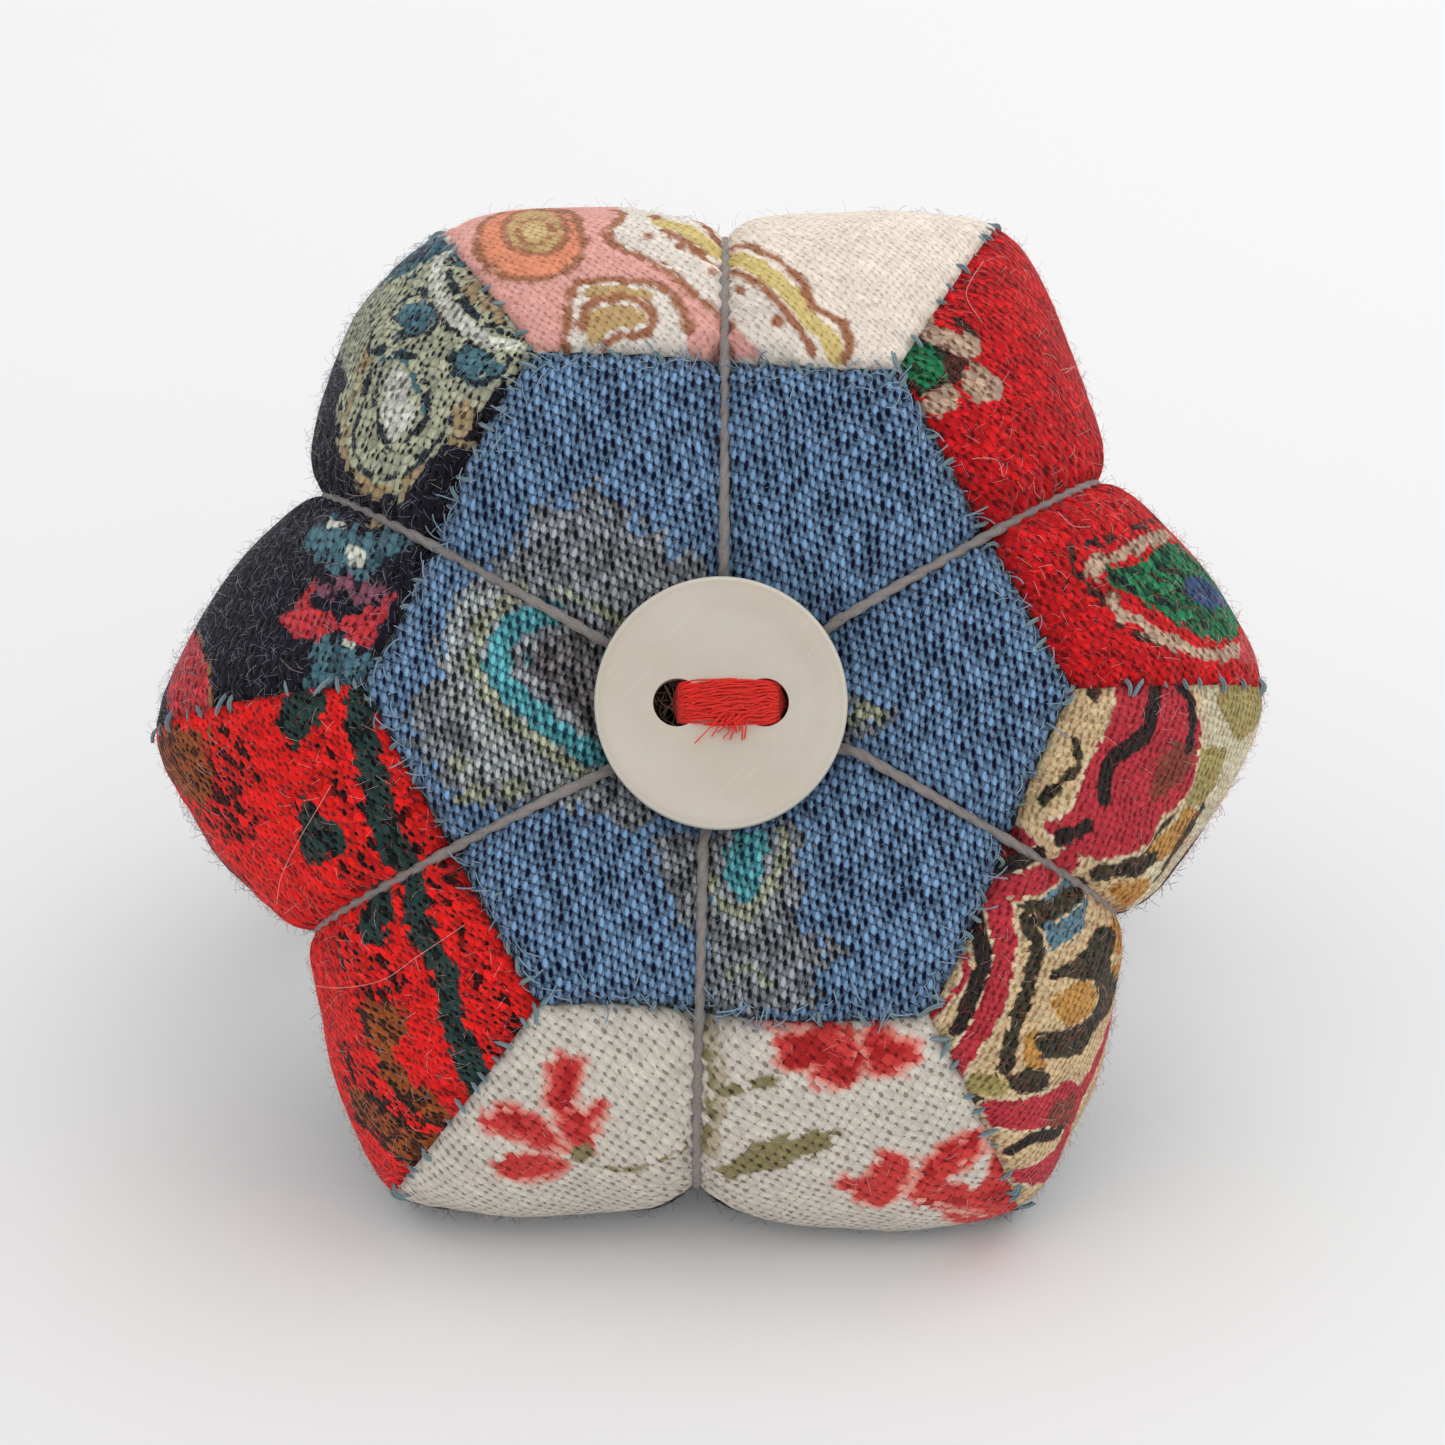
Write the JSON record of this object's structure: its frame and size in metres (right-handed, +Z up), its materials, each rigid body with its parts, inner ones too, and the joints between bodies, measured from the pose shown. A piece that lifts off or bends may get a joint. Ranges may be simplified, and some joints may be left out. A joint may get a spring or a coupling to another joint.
{
  "type": "wrist pin cushion",
  "caption": "Round patchwork pad drawn into lobes by a wrapped thread, with a sewn button in the middle, standing propped on its elastic wrist loop.",
  "frame": {"origin": "on the floor, under the middle of the whole object as it stands propped on its wrist loop", "axes": "+X to the right across the face, +Z up, and the face looks towards -Y and 34 degrees upwards"},
  "size_m": [0.07, 0.0568, 0.0547],
  "materials": {
    "blue_wool": "plain weave worsted, denim blue over navy, with printed grey and turquoise figures",
    "salmon_print": "printed challis in salmon, white, tan and cream",
    "crimson_print": "twilled wool in crimson with green and cream figures, fuzzy",
    "sand_print": "printed wool in sand, rose and black",
    "ivory_print": "open plain weave in ivory with red sprigs",
    "scarlet_print": "printed wool in scarlet with dark green vine, fuzzy",
    "navy_print": "brushed wool, navy black with sage and teal figures",
    "navy_wool": "brushed wool, plain",
    "fibre_fill": "carded wool filling, packed tight",
    "guard_plastic": "cut sheet, slightly cloudy",
    "taupe_thread": "two ply cotton thread, soft lustre",
    "mother_of_pearl": "satin shell with faint clouds",
    "red_floss": "stranded cotton, silky",
    "knitted_elastic": "ribbed knitted elastic, matt",
    "felt": "pressed wool felt, matt"
  },
  "bodies": {
    "root": {"centre_patch": "blue_wool", "patch_top": "salmon_print", "patch_upper_right": "crimson_print", "patch_lower_right": "sand_print", "patch_bottom": "ivory_print", "patch_lower_left": "scarlet_print", "patch_upper_left": "navy_print", "back_panel": "navy_wool", "stuffing": "fibre_fill", "guard_disc": "guard_plastic", "divider_thread": "taupe_thread", "button": "mother_of_pearl", "button_stitch": "red_floss", "wrist_elastic": "knitted_elastic", "wrist_pad": "felt"}
  },
  "joints": []
}
